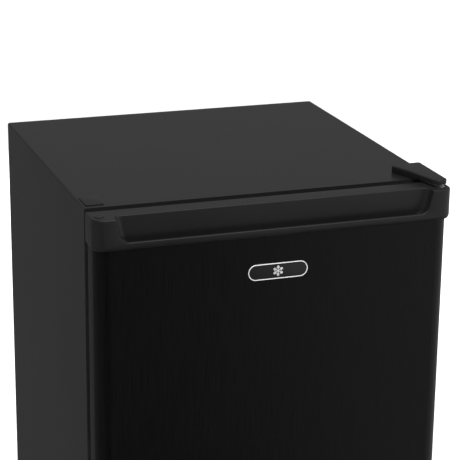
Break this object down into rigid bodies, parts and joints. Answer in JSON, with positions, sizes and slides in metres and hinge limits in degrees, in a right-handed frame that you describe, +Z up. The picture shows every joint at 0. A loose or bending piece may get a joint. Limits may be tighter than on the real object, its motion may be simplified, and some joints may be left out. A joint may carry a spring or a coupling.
{
  "type": "mini fridge",
  "caption": "Black under-counter mini fridge: foamed steel cabinet, side-hinged door with a finger-grip top cap, ice box, glass shelves, door bins and a compressor at the rear.",
  "frame": {"origin": "on the floor under the middle of the fridge's bounding box", "axes": "+Z up; the door faces -Y; +X is the hinge side, on the right as seen from the front"},
  "size_m": [0.504, 0.54, 0.85],
  "materials": {
    "cabinet_paint": "textured satin black",
    "door_steel": "gloss",
    "black_plastic": "satin",
    "white_plastic": "satin",
    "clear_plastic": "gloss",
    "foam": "matte",
    "galvanised_steel": "satin",
    "zinc_steel": "satin",
    "aluminium": "satin",
    "glass": "gloss",
    "rubber": "matte",
    "gasket_vinyl": "matte",
    "compressor_paint": "satin",
    "copper": "satin",
    "badge_metal": "satin"
  },
  "bodies": {
    "cabinet": {"outer_shell": "cabinet_paint", "back_panel": "galvanised_steel", "bay_panel": "galvanised_steel", "base_pan": "cabinet_paint", "cabinet_foam": "foam", "inner_liner": "white_plastic", "upper_hinge_bracket": "zinc_steel", "upper_hinge_pin": "zinc_steel", "upper_hinge_screw_1": "zinc_steel", "upper_hinge_screw_2": "zinc_steel", "hinge_cover": "black_plastic", "hinge_hole_cover": "cabinet_paint", "lower_hinge_bracket": "zinc_steel", "lower_hinge_pin": "zinc_steel", "lower_hinge_screw_1": "zinc_steel", "lower_hinge_screw_2": "zinc_steel", "ice_box": "aluminium", "ice_box_frame": "white_plastic", "tray_rail": "white_plastic", "thermostat_housing": "white_plastic", "sensing_tube": "copper", "shelf_lower": "glass", "shelf_lower_trim": "clear_plastic", "shelf_upper": "glass", "shelf_upper_trim": "clear_plastic", "compressor": "compressor_paint", "compressor_mount_1": "rubber", "compressor_mount_2": "rubber", "compressor_mount_3": "rubber", "compressor_mount_4": "rubber", "terminal_cover": "black_plastic", "condenser_tube": "compressor_paint", "condenser_wires": "compressor_paint", "condenser_bracket_lower": "black_plastic", "condenser_bracket_upper": "black_plastic", "filter_drier": "copper", "discharge_line": "copper", "suction_line": "copper", "capillary_tube": "copper", "cord_gland": "black_plastic", "rear_foot_left": "black_plastic", "rear_foot_right": "black_plastic"},
    "door": {"door_skin": "door_steel", "door_top_cap": "black_plastic", "door_bottom_cap": "black_plastic", "door_foam": "foam", "door_liner": "white_plastic", "door_gasket": "gasket_vinyl", "hinge_bush_upper": "white_plastic", "hinge_bush_lower": "white_plastic", "hinge_hole_plug": "black_plastic", "badge": "badge_metal"},
    "lower_bin": {"door_bin_lower": "clear_plastic"},
    "middle_bin": {"door_bin_middle": "clear_plastic"},
    "upper_bin": {"door_bin_upper": "clear_plastic"},
    "ice_flap": {"ice_flap": "clear_plastic"},
    "drip_tray": {"drip_tray": "white_plastic"},
    "thermostat_knob": {"thermostat_knob": "white_plastic"},
    "levelling_foot_left": {"levelling_foot_left": "black_plastic"},
    "levelling_foot_right": {"levelling_foot_right": "black_plastic"}
  },
  "joints": [
    {"name": "door_swing", "type": "hinge", "parent": "cabinet", "child": "door", "pos_m": [0.24, -0.251, 0.43], "axis": [0, 0, 1], "range_deg": [0, 120]},
    {"name": "lower_bin_lift", "type": "slide", "parent": "door", "child": "lower_bin", "axis": [0, 0, 1], "range_m": [0, 0.018]},
    {"name": "middle_bin_lift", "type": "slide", "parent": "door", "child": "middle_bin", "axis": [0, 0, 1], "range_m": [0, 0.018]},
    {"name": "upper_bin_lift", "type": "slide", "parent": "door", "child": "upper_bin", "axis": [0, 0, 1], "range_m": [0, 0.018]},
    {"name": "ice_flap_swing", "type": "hinge", "parent": "cabinet", "child": "ice_flap", "pos_m": [-0.04, -0.068, 0.776], "axis": [-1, 0, 0], "range_deg": [0, 85]},
    {"name": "drip_tray_slide", "type": "slide", "parent": "cabinet", "child": "drip_tray", "axis": [0, -1, 0], "range_m": [0, 0.085]},
    {"name": "thermostat_turn", "type": "hinge", "parent": "cabinet", "child": "thermostat_knob", "pos_m": [0.17, -0.068, 0.756], "axis": [0, 1, 0], "range_deg": [0, 280]},
    {"name": "foot_left_turn", "type": "hinge", "parent": "cabinet", "child": "levelling_foot_left", "pos_m": [-0.205, -0.178, 0.01], "axis": [0, 0, 1], "continuous": true},
    {"name": "foot_right_turn", "type": "hinge", "parent": "cabinet", "child": "levelling_foot_right", "pos_m": [0.205, -0.178, 0.01], "axis": [0, 0, 1], "continuous": true}
  ]
}
